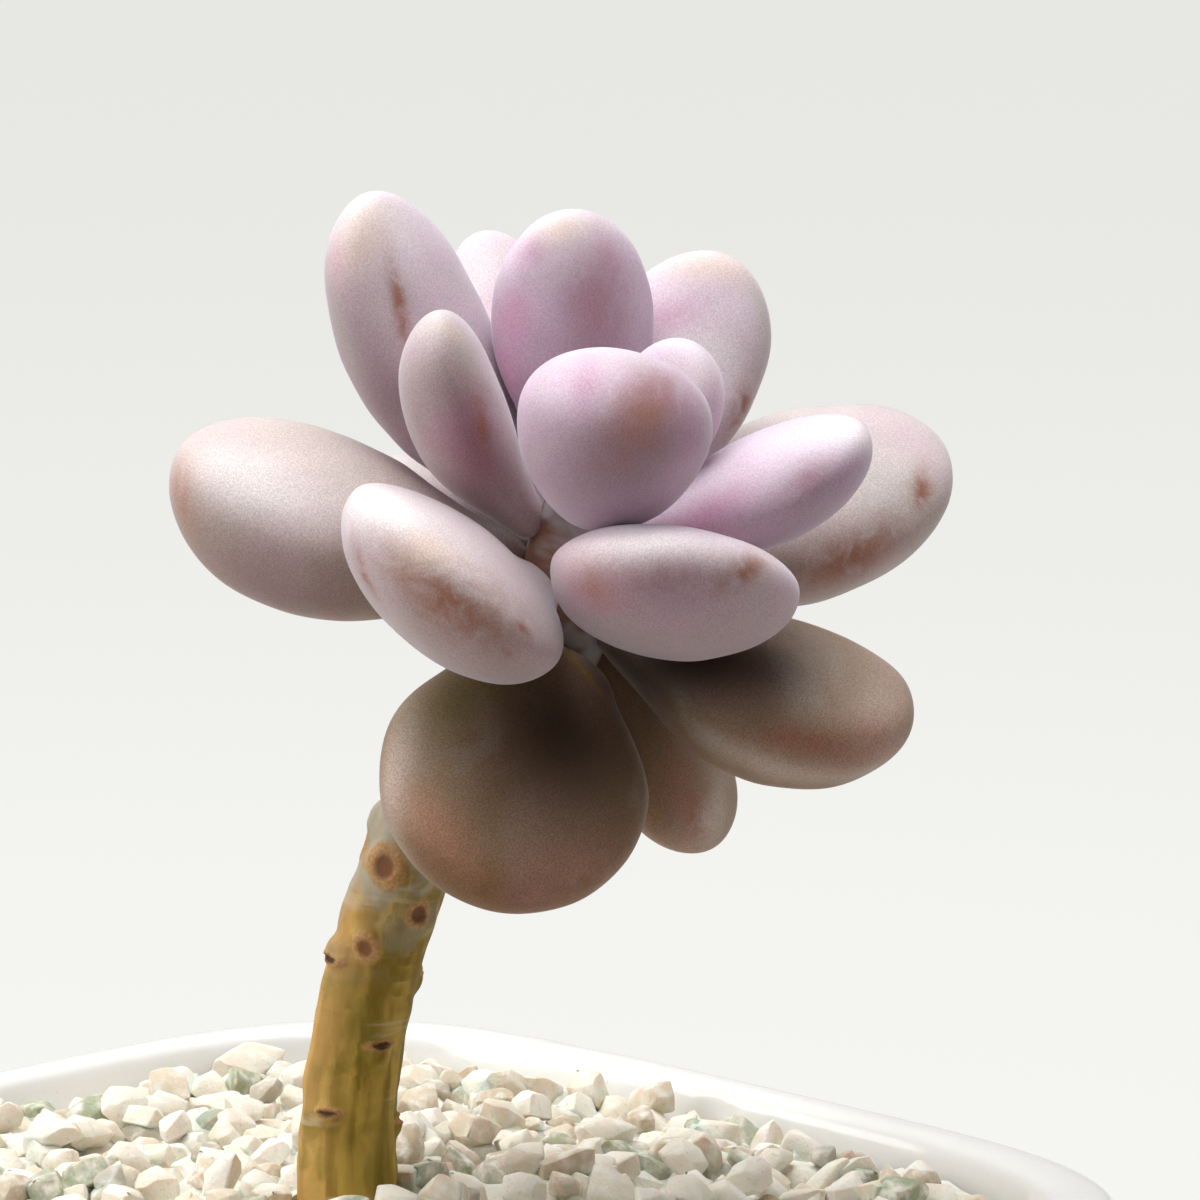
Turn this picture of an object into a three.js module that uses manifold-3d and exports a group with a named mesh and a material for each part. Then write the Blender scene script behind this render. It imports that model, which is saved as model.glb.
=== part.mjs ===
// A potted Graptopetalum amethystinum: one leaning stem that carries a rosette of very thick,
// rounded leaves and stands in a rounded-square glazed pot, in soil under a top dressing of gravel.
// Millimetres, +Z up. The origin is the centre of the pot's foot, and the pot's sides face X and Y.

import * as THREE from "three";
import { mergeVertices } from "three/addons/utils/BufferGeometryUtils.js";
import Module from "manifold-3d";

const wasm = await Module();
wasm.setup();

const DEG = Math.PI / 180;

// Clearance between solids that touch in the real object.
const SEAT_GAP = 0.3;

// Triangles that lie in one plane to within this are joined up.
const FLAT_WITHIN = 0.01;

// Pot: a rounded square in plan. Widths are measured from the centre to the middle of a side.
const POT_HEIGHT = 72;
const LIP_HALF = 59.5;
const FOOT_HALF = 44.5;
const LIP_WIDTH = 6;
const LIP_ROUND = 2;
const FLOOR_LEVEL = 6;
const FOOT_RING_WIDTH = 5;
const FOOT_RING_HEIGHT = 2.5;
const DRAIN_RADIUS = 6;
const POT_SQUARENESS = 4.4;
const POT_SIDES = 48;

// The levels of the pot's inner wall, from the floor up: half width and height.
const INNER_WALL = [
  [38.8, FLOOR_LEVEL],
  [42, FLOOR_LEVEL + 2],
  [45.6, 22],
  [50.4, 50],
  [LIP_HALF - LIP_WIDTH, POT_HEIGHT - LIP_ROUND],
];

// Gravel: how far its bed lies below the lip, its depth, and the size of its stones.
const BED_DROP_AT_WALL = 5.5;
const BED_DROP_AT_STEM = 3;
const GRAVEL_DEPTH = 9;
const STONE_RADIUS = 3.6;
const STONE_HEIGHT = 2.4;
const STONE_SPACING = 6.6;
const STONE_ROW_SPACING = 0.9 * STONE_SPACING;
const STONE_JITTER = 0.5 * STONE_SPACING;
const GRAVEL_GRID = 46;

// The plant leans along the pot's diagonal, so it is built in a frame of its own, turned by this
// much: x runs along one diagonal, y along the other, and z up from the level of the lip.
const PLANT_TURN = 45 * DEG;

// Stem: points on its middle line, with its radius there. It stands upright in the soil.
const STEM_LINE = [
  { at: [1.5, 3, -26], radius: 3.6 },
  { at: [1.5, 3, -12], radius: 4.6 },
  { at: [1.5, 3, -1.5], radius: 4.7 },
  { at: [1.8, 3, 8], radius: 4.3 },
  { at: [3.3, 2.5, 17.2], radius: 4.2 },
  { at: [6, 1.1, 27], radius: 4.2 },
  { at: [9.6, -1.5, 36], radius: 4.1 },
  { at: [14.2, -4.8, 43.5], radius: 3.9 },
  { at: [18, -8, 49], radius: 3.8 },
  { at: [20.5, -10.3, 53], radius: 3.7 },
  { at: [21.9, -13.9, 60], radius: 3.2 },
  { at: [23.6, -17.6, 67.2], radius: 1.8 },
];
const STEM_SIDES = 16;
const STEM_STEPS = 32;
const STEM_HOLE_RADIUS = 5.1;

// Scars of fallen leaves: height on the stem, direction round it (0 faces -y, 90 faces +x), size.
const SCARS = [
  { height: 30.6, facing: -25, radius: 2.5 },
  { height: 23.8, facing: -16, radius: 2 },
  { height: 21.4, facing: -68, radius: 2.1 },
  { height: 26.2, facing: 52, radius: 1.9 },
  { height: 13.4, facing: 30, radius: 1.6 },
  { height: 7, facing: -24, radius: 1.6 },
  { height: 34, facing: 105, radius: 2.2 },
  { height: 28.5, facing: 170, radius: 2.2 },
  { height: 33, facing: -110, radius: 2.1 },
  { height: 19.5, facing: 110, radius: 2 },
  { height: 16, facing: -130, radius: 1.9 },
  { height: 11, facing: 160, radius: 1.7 },
  { height: 5.5, facing: 95, radius: 1.6 },
];
const SCAR_HEIGHT = 0.7;
const SCAR_ROOT = 0.8;

// The crown is the straight top of the stem, which bears the leaves.
const CROWN_START = new THREE.Vector3(20.2, -10.3, 53);
const CROWN_END = new THREE.Vector3(23.9, -18.1, 68.2);
const CROWN_RADIUS = 3.7;
const CROWN_TIP_RADIUS = 1.8;

// What a leaf has unless its row says otherwise: its turn about its own length, how far it bends up
// towards the growing tip from base to end, its neck's share of the full width, where along it is
// widest, how blunt it ends, and the squares along each side of the cube that it is made from.
const LEAF_USUAL = { twist: 0, curl: 20, neck: 0.22, widest: 0.6, bluntness: 2.2, grid: 5 };

// Shared by all leaves: the length share of the rounded base, how late the neck swells, how much
// rounder the neck is than the leaf, how flat the inner face is, how closely the mesh's rows
// crowd towards the base, and how far off the crown a leaf starts before it slides to its seat.
const BASE_CAP = 0.07;
const SWELL_POWER = 1.5;
const NECK_ROUNDNESS = 1.5;
const INNER_FACE_FLATNESS = 0.8;
const ROW_CROWDING = 1.5;
const START_ROOM = 3;
const SEATING_STEPS = 8;

// Leaves, from the lowest up. perch is the distance up the crown, heading the direction in plan
// (0 is +x, 90 is +y), rise the angle above level, and size the length, width and thickness.
const LEAVES = [
  { name: "bottom_back", perch: 5.3, heading: 75, rise: -28, curl: 15, size: [22.3, 14.5, 9.5] },
  {
    name: "bottom_front", perch: 2.8, heading: -105, rise: -43, twist: -6,
    size: [26.5, 23.5, 12.5], widest: 0.48, neck: 0.45,
  },
  { name: "bottom_back_right", perch: 2.6, heading: 27, rise: -57, curl: 10, size: [21.7, 15.8, 9.2] },
  { name: "bottom_right", perch: 3.5, heading: -23, rise: -15, curl: 10, size: [29.5, 18, 12.5] },
  { name: "back", perch: 7.2, heading: 87, rise: 13, size: [28, 16.5, 10.5] },
  { name: "left", perch: 6.9, heading: -177, rise: 17.5, size: [32, 18, 15.2] },
  { name: "right", perch: 6.5, heading: 33, rise: 13.5, size: [37.2, 20, 13], neck: 0.17 },
  { name: "back_left", perch: 7.9, heading: 133, rise: 11, curl: 10, size: [23, 10.5, 7], neck: 0.18 },
  {
    name: "front_left", perch: 6.8, heading: -115.5, rise: 15, twist: -8, curl: 30,
    size: [25.3, 23.1, 11],
  },
  {
    name: "front_right", perch: 9.4, heading: -60, rise: 9.7, twist: -18, curl: 30,
    size: [24.1, 21.6, 10.9],
  },
  {
    name: "upper_back_right", perch: 7.7, heading: 44, rise: 53.5, curl: 30,
    size: [29.9, 15, 10], neck: 0.13,
  },
  {
    name: "upper_back_left", perch: 10.8, heading: 106, rise: 41, curl: 30,
    size: [33.6, 12.4, 7.5], neck: 0.11,
  },
  {
    name: "upper_left", perch: 9.2, heading: 167, rise: 61.5, curl: 40,
    size: [33.2, 15.5, 10.4], neck: 0.15, widest: 0.57,
  },
  { name: "finger_left", perch: 10, heading: -132, rise: 57, curl: 30, size: [23.6, 12, 8.4] },
  { name: "finger_right", perch: 11.8, heading: -13, rise: 22.5, size: [24.4, 12.5, 8.5] },
  { name: "upper_back", perch: 12.3, heading: 87, rise: 75, size: [25.7, 14.5, 9.2], neck: 0.15 },
  {
    name: "centre_front", perch: 15.5, heading: -75.5, rise: 43.5, curl: 38,
    size: [20.6, 16.4, 12.8], widest: 0.66, bluntness: 2.6,
  },
  { name: "centre_right", perch: 12.3, heading: -19, rise: 60.5, curl: 30, size: [16.6, 10.3, 6.7] },
  { name: "tip_back", perch: 16.3, heading: 50, rise: 82, curl: 15, size: [7.4, 3.6, 2.6], grid: 3 },
  { name: "tip_left", perch: 16.6, heading: 195, rise: 74, curl: 15, size: [6.5, 2.8, 2], grid: 3 },
];

// Colours from the photograph.
const GLAZE = 0xf0efeb;
const SOIL = 0x3d322a;
const STONE = 0xd8d4c6;
const BARK = 0x85703c;
const OLD_LEAF = new THREE.Color(0x9c8b84);
const YOUNG_LEAF = new THREE.Color(0xd9bfcd);

const scene = new THREE.Group();
const plant = new THREE.Group();
plant.position.z = POT_HEIGHT;
plant.rotation.z = PLANT_TURN;
scene.add(plant);

function addMesh(parent, name, geometry, color, roughness) {
  const material = new THREE.MeshStandardMaterial({ color, roughness, metalness: 0 });
  const mesh = new THREE.Mesh(geometry, material);
  mesh.name = name;
  parent.add(mesh);
  return mesh;
}

// A solid for cutting and joining, from a closed geometry.
function toSolid(geometry) {
  const bare = new THREE.BufferGeometry();
  bare.setAttribute("position", geometry.getAttribute("position"));
  bare.setIndex(geometry.index);
  const merged = mergeVertices(bare, 1e-4);
  return new wasm.Manifold(
    new wasm.Mesh({
      numProp: 3,
      vertProperties: new Float32Array(merged.attributes.position.array),
      triVerts: new Uint32Array(merged.index.array),
    }),
  );
}

function toGeometry(solid) {
  const mesh = solid.getMesh();
  const geometry = new THREE.BufferGeometry();
  const corners = new Float32Array(mesh.vertProperties);
  geometry.setAttribute("position", new THREE.BufferAttribute(corners, 3));
  geometry.setIndex(new THREE.BufferAttribute(new Uint32Array(mesh.triVerts), 1));
  return geometry;
}

// Closed surface through rings of equally many points. A loop joins its last ring to its first,
// and anything else is closed by flat ends.
function skin(rings, isLoop) {
  const sides = rings[0].length;
  const index = [];
  const joins = isLoop ? rings.length : rings.length - 1;
  for (let i = 0; i < joins; i++) {
    const low = i * sides;
    const high = ((i + 1) % rings.length) * sides;
    for (let j = 0; j < sides; j++) {
      const next = (j + 1) % sides;
      index.push(low + j, low + next, high + next, low + j, high + next, high + j);
    }
  }
  if (!isLoop) {
    const last = (rings.length - 1) * sides;
    for (let j = 1; j < sides - 1; j++) index.push(0, j + 1, j, last, last + j, last + j + 1);
  }
  return new THREE.BufferGeometry().setFromPoints(rings.flat()).setIndex(index);
}

// Level ring in the shape of a rounded square, or a circle when squareness is 2.
function ring([half, height], squareness = POT_SQUARENESS) {
  const points = [];
  for (let i = 0; i < POT_SIDES; i++) {
    const angle = (i / POT_SIDES) * 2 * Math.PI;
    const across = Math.cos(angle);
    const along = Math.sin(angle);
    const x = Math.sign(across) * Math.abs(across) ** (2 / squareness);
    const y = Math.sign(along) * Math.abs(along) ** (2 / squareness);
    points.push(new THREE.Vector3(x * half, y * half, height));
  }
  return points;
}

function potGeometry() {
  const inside = LIP_HALF - LIP_WIDTH;
  const footInside = FOOT_HALF - FOOT_RING_WIDTH;
  const outline = [
    [FOOT_HALF - 1, 0],
    [FOOT_HALF, 1.2],
    [FOOT_HALF + 2.6, 12],
    [FOOT_HALF + 6.2, 30],
    [FOOT_HALF + 9.6, 48],
    [FOOT_HALF + 12.6, 63],
    [LIP_HALF, POT_HEIGHT - LIP_ROUND],
    [LIP_HALF - 0.3 * LIP_ROUND, POT_HEIGHT - 0.3 * LIP_ROUND],
    [LIP_HALF - LIP_ROUND, POT_HEIGHT],
    [inside + 0.8 * LIP_ROUND, POT_HEIGHT],
    [inside + 0.2 * LIP_ROUND, POT_HEIGHT - 0.3 * LIP_ROUND],
    ...INNER_WALL.toReversed(),
  ];
  const rings = outline.map((level) => ring(level));
  rings.push(ring([DRAIN_RADIUS, FLOOR_LEVEL], 2));
  rings.push(ring([DRAIN_RADIUS, FOOT_RING_HEIGHT], 2));
  rings.push(ring([footInside - 0.6, FOOT_RING_HEIGHT]));
  rings.push(ring([footInside, 0]));
  return skin(rings, true);
}

// Half width of the room inside the pot at a height, less the clearance.
function roomHalf(height) {
  const next = INNER_WALL.findIndex((level) => level[1] > height);
  const above = next < 0 ? INNER_WALL.length - 1 : next;
  const [upperHalf, upper] = INNER_WALL[above];
  const [lowerHalf, lower] = INNER_WALL[above - 1];
  const share = Math.min((height - lower) / (upper - lower), 1);
  return THREE.MathUtils.lerp(lowerHalf, upperHalf, share) - SEAT_GAP;
}

function roomRings(heights) {
  return heights.map((height) => ring([roomHalf(height), height]));
}

// The plain hole in which the stem stands, from just below its foot to above the gravel.
function stemHole() {
  const foot = POT_HEIGHT + STEM_LINE[0].at[2] - SEAT_GAP;
  const depth = POT_HEIGHT - foot;
  const hole = new THREE.CylinderGeometry(STEM_HOLE_RADIUS, STEM_HOLE_RADIUS, depth, 24);
  hole.rotateX(Math.PI / 2);
  const middle = new THREE.Vector3(STEM_LINE[0].at[0], STEM_LINE[0].at[1], 0);
  middle.applyAxisAngle(new THREE.Vector3(0, 0, 1), PLANT_TURN);
  hole.translate(middle.x, middle.y, foot + depth / 2);
  return toSolid(hole);
}

const GRAVEL_FOOT = POT_HEIGHT - BED_DROP_AT_WALL - GRAVEL_DEPTH;

function soilGeometry() {
  const levels = [FLOOR_LEVEL + SEAT_GAP, FLOOR_LEVEL + 2, 22, 50, GRAVEL_FOOT - SEAT_GAP];
  return toGeometry(toSolid(skin(roomRings(levels), false)).subtract(stemHole()));
}

// Repeatable stream of numbers from 0 to 1.
function seededRandom(seed) {
  let state = seed;
  return () => {
    state = (state * 1664525 + 1013904223) >>> 0;
    return state / 4294967296;
  };
}

// Height of the gravel bed, which rises from the wall to a low mound round the stem.
function bedHeight(x, y) {
  const spread = Math.min(Math.hypot(x, y) / (LIP_HALF - LIP_WIDTH), 1);
  return POT_HEIGHT - THREE.MathUtils.lerp(BED_DROP_AT_STEM, BED_DROP_AT_WALL, spread);
}

// Middles and sizes of the stones, on a jittered lattice.
function scatterStones() {
  const random = seededRandom(11);
  const reach = Math.ceil(LIP_HALF / STONE_SPACING);
  const stones = [];
  for (let row = -reach; row <= reach; row++)
    for (let column = -reach; column <= reach; column++) {
      stones.push({
        x: (column + (row % 2) / 2) * STONE_SPACING + (random() - 0.5) * STONE_JITTER,
        y: row * STONE_ROW_SPACING + (random() - 0.5) * STONE_JITTER,
        radius: STONE_RADIUS * (0.8 + random() * 0.35),
        height: STONE_HEIGHT * (0.7 + random() * 0.5),
      });
    }
  return stones;
}

function gravelHeight(stones, x, y) {
  let rise = 0;
  for (const stone of stones) {
    const away = Math.hypot(x - stone.x, y - stone.y) / stone.radius;
    if (away < 1) rise = Math.max(rise, stone.height * Math.sqrt(1 - away ** 2));
  }
  return bedHeight(x, y) + rise;
}

// One solid for all the gravel. Its top is a grid, drawn out to the pot's rounded square, that
// rises into stones, and the grid's rim is carried down to a flat foot.
function gravelGeometry() {
  const stones = scatterStones();
  const wallHalf = roomHalf(POT_HEIGHT - BED_DROP_AT_WALL) - SEAT_GAP;
  const footHalf = roomHalf(GRAVEL_FOOT) - SEAT_GAP;
  const sheet = new THREE.BoxGeometry(2, 2, 2, GRAVEL_GRID, GRAVEL_GRID, 1);
  sheet.deleteAttribute("normal");
  sheet.deleteAttribute("uv");
  const gravel = mergeVertices(sheet, 1e-4);
  const place = gravel.attributes.position;
  for (let i = 0; i < place.count; i++) {
    const across = place.getX(i);
    const along = place.getY(i);
    const power = Math.abs(across) ** POT_SQUARENESS + Math.abs(along) ** POT_SQUARENESS;
    const reach = Math.max(Math.abs(across), Math.abs(along));
    const stretch = reach / Math.max(power, 1e-9) ** (1 / POT_SQUARENESS);
    const isTop = place.getZ(i) > 0;
    const half = isTop ? wallHalf : footHalf;
    const x = across * stretch * half;
    const y = along * stretch * half;
    place.setXYZ(i, x, y, isTop ? gravelHeight(stones, x, y) : GRAVEL_FOOT);
  }
  return toGeometry(toSolid(gravel).simplify(FLAT_WITHIN).subtract(stemHole()));
}

const stemPoints = STEM_LINE.map((point) => new THREE.Vector3(...point.at));
const stemCurve = new THREE.CatmullRomCurve3(stemPoints);

function stemRadius(share) {
  const place = stemCurve.getUtoTmapping(share) * (STEM_LINE.length - 1);
  const before = Math.min(Math.floor(place), STEM_LINE.length - 2);
  const { lerp } = THREE.MathUtils;
  return lerp(STEM_LINE[before].radius, STEM_LINE[before + 1].radius, place - before);
}

// A low round boss where a leaf has dropped.
function scarSolid({ height, facing, radius }) {
  let share = 0;
  while (stemCurve.getPointAt(share).z < height) share += 0.002;
  const along = stemCurve.getTangentAt(share);
  const out = new THREE.Vector3(Math.sin(facing * DEG), -Math.cos(facing * DEG), 0);
  out.addScaledVector(along, -out.dot(along)).normalize();
  const boss = new THREE.IcosahedronGeometry(1, 1);
  boss.scale(radius, radius, SCAR_HEIGHT + SCAR_ROOT);
  boss.applyQuaternion(new THREE.Quaternion().setFromUnitVectors(new THREE.Vector3(0, 0, 1), out));
  const place = stemCurve.getPointAt(share).addScaledVector(out, stemRadius(share) - SCAR_ROOT);
  boss.translate(place.x, place.y, place.z);
  return toSolid(boss);
}

function buildStem() {
  const frames = stemCurve.computeFrenetFrames(STEM_STEPS, false);
  const rings = [];
  for (let i = 0; i <= STEM_STEPS; i++) {
    const radius = stemRadius(i / STEM_STEPS);
    const points = [];
    for (let j = 0; j < STEM_SIDES; j++) {
      const angle = (j / STEM_SIDES) * 2 * Math.PI;
      const point = stemCurve.getPointAt(i / STEM_STEPS);
      point.addScaledVector(frames.normals[i], Math.cos(angle) * radius);
      point.addScaledVector(frames.binormals[i], Math.sin(angle) * radius);
      points.push(point);
    }
    rings.push(points);
  }
  let stem = toSolid(skin(rings, false));
  for (const scar of SCARS) stem = stem.add(scarSolid(scar));
  return stem;
}

const stemSolid = buildStem();

// A unit sphere made of the six sides of a cube. Its +x pole is the leaf's end and -x its base.
function cubeSphere(grid) {
  const box = new THREE.BoxGeometry(2, 2, 2, grid, grid, grid);
  box.deleteAttribute("normal");
  box.deleteAttribute("uv");
  const sphere = mergeVertices(box, 1e-4);
  const place = sphere.attributes.position;
  const spread = (value) => Math.tan((value * Math.PI) / 4);
  for (let i = 0; i < place.count; i++) {
    const point = new THREE.Vector3(spread(place.getX(i)), spread(place.getY(i)), spread(place.getZ(i)));
    point.normalize();
    place.setXYZ(i, point.x, point.y, point.z);
  }
  return sphere;
}

// Share of the full half width at a share of the leaf's length: a short rounded base, a neck that
// swells to the widest place, and a blunt round end.
function swell(share, neck, widest, bluntness) {
  if (share > widest) {
    const past = (share - widest) / (1 - widest);
    return Math.sqrt(Math.max(0, 1 - past ** bluntness));
  }
  const cap = share < BASE_CAP ? Math.sqrt(1 - (1 - share / BASE_CAP) ** 2) : 1;
  const growth = Math.sin((share / widest) * Math.PI * 0.5) ** SWELL_POWER;
  return cap * (neck + (1 - neck) * growth);
}

// A leaf along +x from the origin, its inner face up, bent upwards along an arc.
function leafGeometry({ size, curl, neck, widest, bluntness, grid }) {
  const [length, width, thickness] = size;
  const leaf = cubeSphere(grid);
  const place = leaf.attributes.position;
  const bend = curl * DEG;
  const bendRadius = length / (2 * Math.sin(bend / 2));
  for (let i = 0; i < place.count; i++) {
    const share = ((1 + place.getX(i)) / 2) ** ROW_CROWDING;
    const around = Math.atan2(place.getZ(i), place.getY(i));
    const halfWidth = 0.5 * width * swell(share, neck, widest, bluntness);
    const halfThickness = 0.5 * thickness * swell(share, neck * NECK_ROUNDNESS, widest - 0.05, bluntness);
    const fullness = Math.sin(around) > 0 ? INNER_FACE_FLATNESS : 2 - INNER_FACE_FLATNESS;
    const turn = bend * (share - 0.5);
    const reach = bendRadius - halfThickness * fullness * Math.sin(around);
    const x = length / 2 + reach * Math.sin(turn);
    const z = bendRadius * Math.cos(bend / 2) - reach * Math.cos(turn);
    place.setXYZ(i, x, halfWidth * Math.cos(around), z);
  }
  return leaf;
}

const crownAxis = new THREE.Vector3().subVectors(CROWN_END, CROWN_START);
const crownLength = crownAxis.length();
crownAxis.normalize();

function addLeaf(row) {
  const leaf = { ...LEAF_USUAL, ...row };
  const level = Math.cos(leaf.rise * DEG);
  const out = new THREE.Vector3(
    Math.cos(leaf.heading * DEG) * level,
    Math.sin(leaf.heading * DEG) * level,
    Math.sin(leaf.rise * DEG),
  );
  // The broad inner face looks towards the growing tip.
  const inner = crownAxis.clone().addScaledVector(out, -crownAxis.dot(out)).normalize();
  const across = new THREE.Vector3().crossVectors(inner, out);
  const facing = new THREE.Matrix4().makeBasis(out, across, inner);
  facing.multiply(new THREE.Matrix4().makeRotationX(leaf.twist * DEG));
  const upCrown = leaf.perch / crownLength;
  const colour = OLD_LEAF.clone().lerp(YOUNG_LEAF, Math.min(upCrown, 1));
  const mesh = addMesh(plant, "leaf_" + leaf.name, leafGeometry(leaf), colour, 0.7);
  mesh.quaternion.setFromRotationMatrix(facing);
  mesh.position.copy(CROWN_START).addScaledVector(crownAxis, leaf.perch);
  const radial = out.clone().addScaledVector(crownAxis, -out.dot(crownAxis)).normalize();
  const crownRadius = THREE.MathUtils.lerp(CROWN_RADIUS, CROWN_TIP_RADIUS, upCrown);
  mesh.position.addScaledVector(radial, crownRadius).addScaledVector(out, START_ROOM);
  // The leaf slides back along its length until it all but touches the stem.
  for (let step = 0; step < SEATING_STEPS; step++) {
    mesh.updateMatrix();
    const solid = toSolid(mesh.geometry.clone().applyMatrix4(mesh.matrix));
    const gap = solid.minGap(stemSolid, 2 * START_ROOM);
    mesh.position.addScaledVector(out, SEAT_GAP - gap);
  }
}

addMesh(scene, "pot", potGeometry(), GLAZE, 0.25);
addMesh(scene, "soil", soilGeometry(), SOIL, 0.95);
addMesh(scene, "gravel", gravelGeometry(), STONE, 0.85);
addMesh(plant, "stem", toGeometry(stemSolid), BARK, 0.8);
LEAVES.forEach(addLeaf);

export default scene;
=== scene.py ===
"""A potted Graptopetalum amethystinum: thick powdery leaves on a leaning scarred stem, in a white
glazed pot dressed with crushed stone. Metres, +Z up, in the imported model's own frame."""

import math
import random

import bpy
import numpy as np
from mathutils import Matrix, Vector


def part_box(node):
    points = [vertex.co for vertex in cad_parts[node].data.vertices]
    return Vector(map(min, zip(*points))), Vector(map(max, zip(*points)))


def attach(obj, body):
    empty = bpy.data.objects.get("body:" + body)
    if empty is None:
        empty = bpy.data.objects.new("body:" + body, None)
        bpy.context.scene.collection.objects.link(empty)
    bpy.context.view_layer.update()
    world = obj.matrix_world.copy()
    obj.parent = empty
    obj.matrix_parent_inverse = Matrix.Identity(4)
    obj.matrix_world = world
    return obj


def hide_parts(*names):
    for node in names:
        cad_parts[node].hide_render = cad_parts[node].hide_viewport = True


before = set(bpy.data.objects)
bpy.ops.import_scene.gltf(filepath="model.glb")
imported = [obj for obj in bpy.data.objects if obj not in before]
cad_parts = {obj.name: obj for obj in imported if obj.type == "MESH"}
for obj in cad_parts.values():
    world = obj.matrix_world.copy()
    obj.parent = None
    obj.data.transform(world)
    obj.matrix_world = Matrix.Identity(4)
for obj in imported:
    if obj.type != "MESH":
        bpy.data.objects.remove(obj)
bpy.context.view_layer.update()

MM = 0.001
RANDOM_SEED = 7

# The camera stands off one corner of the pot and looks slightly down at the rosette.
VIEW_TARGET = Vector((13.8, 20.9, 125.5)) * MM
VIEW_AZIMUTH = math.radians(45)
VIEW_PITCH = math.radians(9.5)
VIEW_DISTANCE = 600 * MM
VIEW_WIDTH = 108 * MM
PHOTO_PIXELS = 1200

TO_CAMERA = Vector((
    math.sin(VIEW_AZIMUTH) * math.cos(VIEW_PITCH),
    -math.cos(VIEW_AZIMUTH) * math.cos(VIEW_PITCH),
    math.sin(VIEW_PITCH),
))
VIEW_RIGHT = Vector((math.cos(VIEW_AZIMUTH), math.sin(VIEW_AZIMUTH), 0))
VIEW_UP = TO_CAMERA.cross(VIEW_RIGHT)
CAMERA_PLACE = VIEW_TARGET + TO_CAMERA * VIEW_DISTANCE

# How old each leaf looks: 0 is a fresh lavender one, 1 an old brown one.
LEAF_AGE = {
    "upper_back": 0.0,
    "centre_front": 0.1,
    "centre_right": 0.0,
    "tip_back": 0.0,
    "tip_left": 0.0,
    "upper_back_right": 0.15,
    "upper_back_left": 0.3,
    "upper_left": 0.15,
    "finger_left": 0.3,
    "finger_right": 0.05,
    "right": 0.4,
    "front_right": 0.25,
    "front_left": 0.35,
    "back": 0.4,
    "back_left": 0.4,
    "left": 0.5,
    "bottom_right": 0.85,
    "bottom_front": 1.0,
    "bottom_back": 0.9,
    "bottom_back_right": 0.9,
}

# Skin colours by age: bare skin, and skin whitened by its powder. Faces turned down take the first and
# faces turned up the second, so the difference is partly the powder and partly painted top light and
# painted shade.
BARE_AND_SHADED_TONES = [
    (0.0, (0.49, 0.335, 0.445)),
    (0.4, (0.41, 0.3, 0.275)),
    (0.7, (0.28, 0.175, 0.1)),
    (1.0, (0.17, 0.085, 0.025)),
]
POWDERED_AND_TOP_LIT_TONES = [
    (0.0, (0.8, 0.68, 0.8)),
    (0.25, (0.74, 0.63, 0.68)),
    (0.4, (0.68, 0.6, 0.59)),
    (0.7, (0.46, 0.35, 0.28)),
    (1.0, (0.31, 0.205, 0.12)),
]

# A leaf is old from this age on.
OLD_AGE = 0.5

# How finely a leaf is divided, how often its cage is corrected, and how uneven it is for its length.
LEAF_LEVELS = 3
ROUNDING_PASSES = 3
LEAF_UNEVENNESS = 0.02

# Tints on the skin: a colour each, how strongly it covers, and how far it breaks up into specks.
TINTS = {
    "flush": ((0.58, 0.26, 0.42), 0.6, 0.5),
    # This tint is partly the leaves' pale powder and partly a painted highlight, laid where light falls
    # on the tops of the leaves.
    "bloom": ((0.88, 0.81, 0.82), 0.75, 0.0),
    # This tint is partly the cream-peach colour of the leaf tips and partly a painted warm highlight on
    # the tops of the upper leaves.
    "peach": ((0.82, 0.64, 0.52), 0.6, 0.0),
    # This tint is painted rim light: pale grey along the edges of the old lower leaves where side light
    # catches them.
    "ash": ((0.66, 0.54, 0.48), 0.65, 0.0),
    "moss": ((0.46, 0.46, 0.38), 0.6, 0.0),
    "olive": ((0.17, 0.135, 0.025), 0.75, 0.0),
    # This tint is painted backlight: yellow ochre along a thin edge of the lowest front leaf, where
    # light shines through it.
    "ochre": ((0.5, 0.3, 0.06), 0.8, 0.0),
    # This tint is painted shade: mauve-brown darkening where a leaf lies in the shade of the leaves
    # over and beside it.
    "dusk": ((0.24, 0.16, 0.17), 0.6, 0.0),
    "mauve": ((0.36, 0.17, 0.21), 0.65, 0.5),
    "rust": ((0.42, 0.2, 0.13), 0.7, 0.6),
    "rub": ((0.32, 0.13, 0.08), 0.9, 1.0),
    # This tint is a painted shadow: near black where the leaves above cast shadow on the lowest leaves.
    "shade": ((0.03, 0.01, 0.001), 0.95, 0.0),
}

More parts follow.
